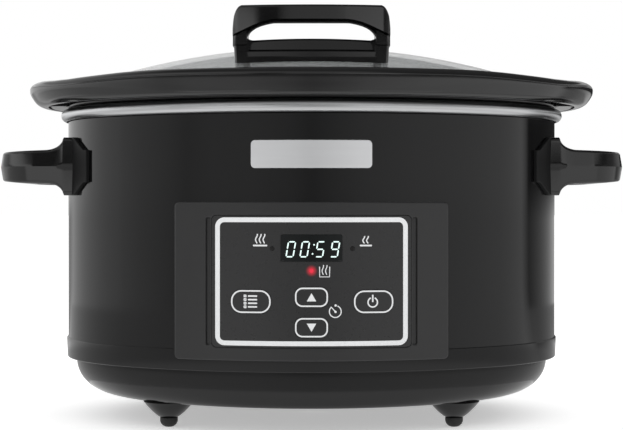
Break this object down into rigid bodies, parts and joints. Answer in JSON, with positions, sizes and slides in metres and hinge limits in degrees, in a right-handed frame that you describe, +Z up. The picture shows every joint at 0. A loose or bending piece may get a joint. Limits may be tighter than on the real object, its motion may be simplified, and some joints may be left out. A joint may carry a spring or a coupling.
{
  "type": "slow cooker",
  "caption": "Countertop slow cooker with an oval body, lift-out crock, hinged glass lid, loop side handles and a curved front panel with push keys.",
  "frame": {"origin": "on the table, below the middle of the whole cooker's box", "axes": "+X to the right seen from the front, -Y towards the key panel, +Z up"},
  "size_m": [0.4198, 0.307, 0.2708],
  "materials": {
    "outer_wrap": "gloss black enamel",
    "base_trim_band": "gloss black",
    "base_pan": "satin black",
    "rubber_feet": "matt black",
    "top_collar": "polished",
    "heating_well": "satin",
    "heating_band": "mica sheet",
    "thermal_fuse": "matt",
    "temperature_sensor": "satin",
    "centre_stud": "zinc plated",
    "centre_nut": "zinc plated",
    "left_handle": "gloss black",
    "right_handle": "gloss black",
    "side_handle_screws": "zinc plated",
    "control_bezel": "satin dark grey",
    "keypad_overlay": "satin dark grey film",
    "display_window": "smoked",
    "display_module": "white case",
    "indicator_lenses": "clear red",
    "control_board": "green laminate",
    "tact_switches": "matt",
    "board_screws": "zinc plated",
    "nameplate": "satin, bare",
    "power_board": "green laminate",
    "power_board_screws": "zinc plated",
    "relay": "blue case",
    "transformer": "varnished coil",
    "terminal_block": "green",
    "wiring_harness": "silicone sleeve",
    "cord_gland": "matt black",
    "hinge_socket": "satin black",
    "hinge_socket_screws": "zinc plated",
    "menu_button": "satin dark grey",
    "up_button": "satin dark grey",
    "down_button": "satin dark grey",
    "power_button": "satin dark grey",
    "stoneware_crock": "gloss black glaze",
    "hinge_block": "satin black",
    "hinge_pin": "polished",
    "lid_frame": "dark grey",
    "lid_hinge_arm": "dark grey",
    "lid_hinge_screws": "zinc plated",
    "lid_glass": "clear tempered",
    "lid_seal": "translucent silicone",
    "lid_handle_base": "gloss black",
    "lid_handle_grip": "gloss black",
    "lid_handle_screws": "zinc plated"
  },
  "bodies": {
    "base": {"outer_wrap": "outer_wrap", "base_trim_band": "base_trim_band", "base_pan": "base_pan", "rubber_feet": "rubber_feet", "top_collar": "top_collar", "heating_well": "heating_well", "heating_band": "heating_band", "thermal_fuse": "thermal_fuse", "temperature_sensor": "temperature_sensor", "centre_stud": "centre_stud", "centre_nut": "centre_nut", "left_handle": "left_handle", "right_handle": "right_handle", "side_handle_screws": "side_handle_screws", "control_bezel": "control_bezel", "keypad_overlay": "keypad_overlay", "display_window": "display_window", "display_module": "display_module", "indicator_lenses": "indicator_lenses", "control_board": "control_board", "tact_switches": "tact_switches", "board_screws": "board_screws", "nameplate": "nameplate", "power_board": "power_board", "power_board_screws": "power_board_screws", "relay": "relay", "transformer": "transformer", "terminal_block": "terminal_block", "wiring_harness": "wiring_harness", "cord_gland": "cord_gland", "hinge_socket": "hinge_socket", "hinge_socket_screws": "hinge_socket_screws"},
    "menu_key": {"menu_button": "menu_button"},
    "up_key": {"up_button": "up_button"},
    "down_key": {"down_button": "down_button"},
    "power_key": {"power_button": "power_button"},
    "crock": {"stoneware_crock": "stoneware_crock"},
    "hinge_mount": {"hinge_block": "hinge_block", "hinge_pin": "hinge_pin"},
    "lid": {"lid_frame": "lid_frame", "lid_hinge_arm": "lid_hinge_arm", "lid_hinge_screws": "lid_hinge_screws", "lid_glass": "lid_glass", "lid_seal": "lid_seal", "lid_handle_base": "lid_handle_base", "lid_handle_grip": "lid_handle_grip", "lid_handle_screws": "lid_handle_screws"}
  },
  "joints": [
    {"name": "crock_lift", "type": "slide", "parent": "base", "child": "crock", "axis": [0, 0, 1], "range_m": [0, 0.2]},
    {"name": "lid_lift_off", "type": "slide", "parent": "crock", "child": "hinge_mount", "axis": [0, 0, 1], "range_m": [0, 0.06]},
    {"name": "lid_hinge", "type": "hinge", "parent": "hinge_mount", "child": "lid", "pos_m": [0, 0.148, 0.212], "axis": [-1, 0, 0], "range_deg": [0, 95]},
    {"name": "menu_press", "type": "slide", "parent": "base", "child": "menu_key", "axis": [0, 1, 0], "range_m": [0, 0.0008], "stiffness_N_per_m": 400},
    {"name": "up_press", "type": "slide", "parent": "base", "child": "up_key", "axis": [0, 1, 0], "range_m": [0, 0.0008], "stiffness_N_per_m": 400},
    {"name": "down_press", "type": "slide", "parent": "base", "child": "down_key", "axis": [0, 1, 0], "range_m": [0, 0.0008], "stiffness_N_per_m": 400},
    {"name": "power_press", "type": "slide", "parent": "base", "child": "power_key", "axis": [0, 1, 0], "range_m": [0, 0.0008], "stiffness_N_per_m": 400}
  ]
}
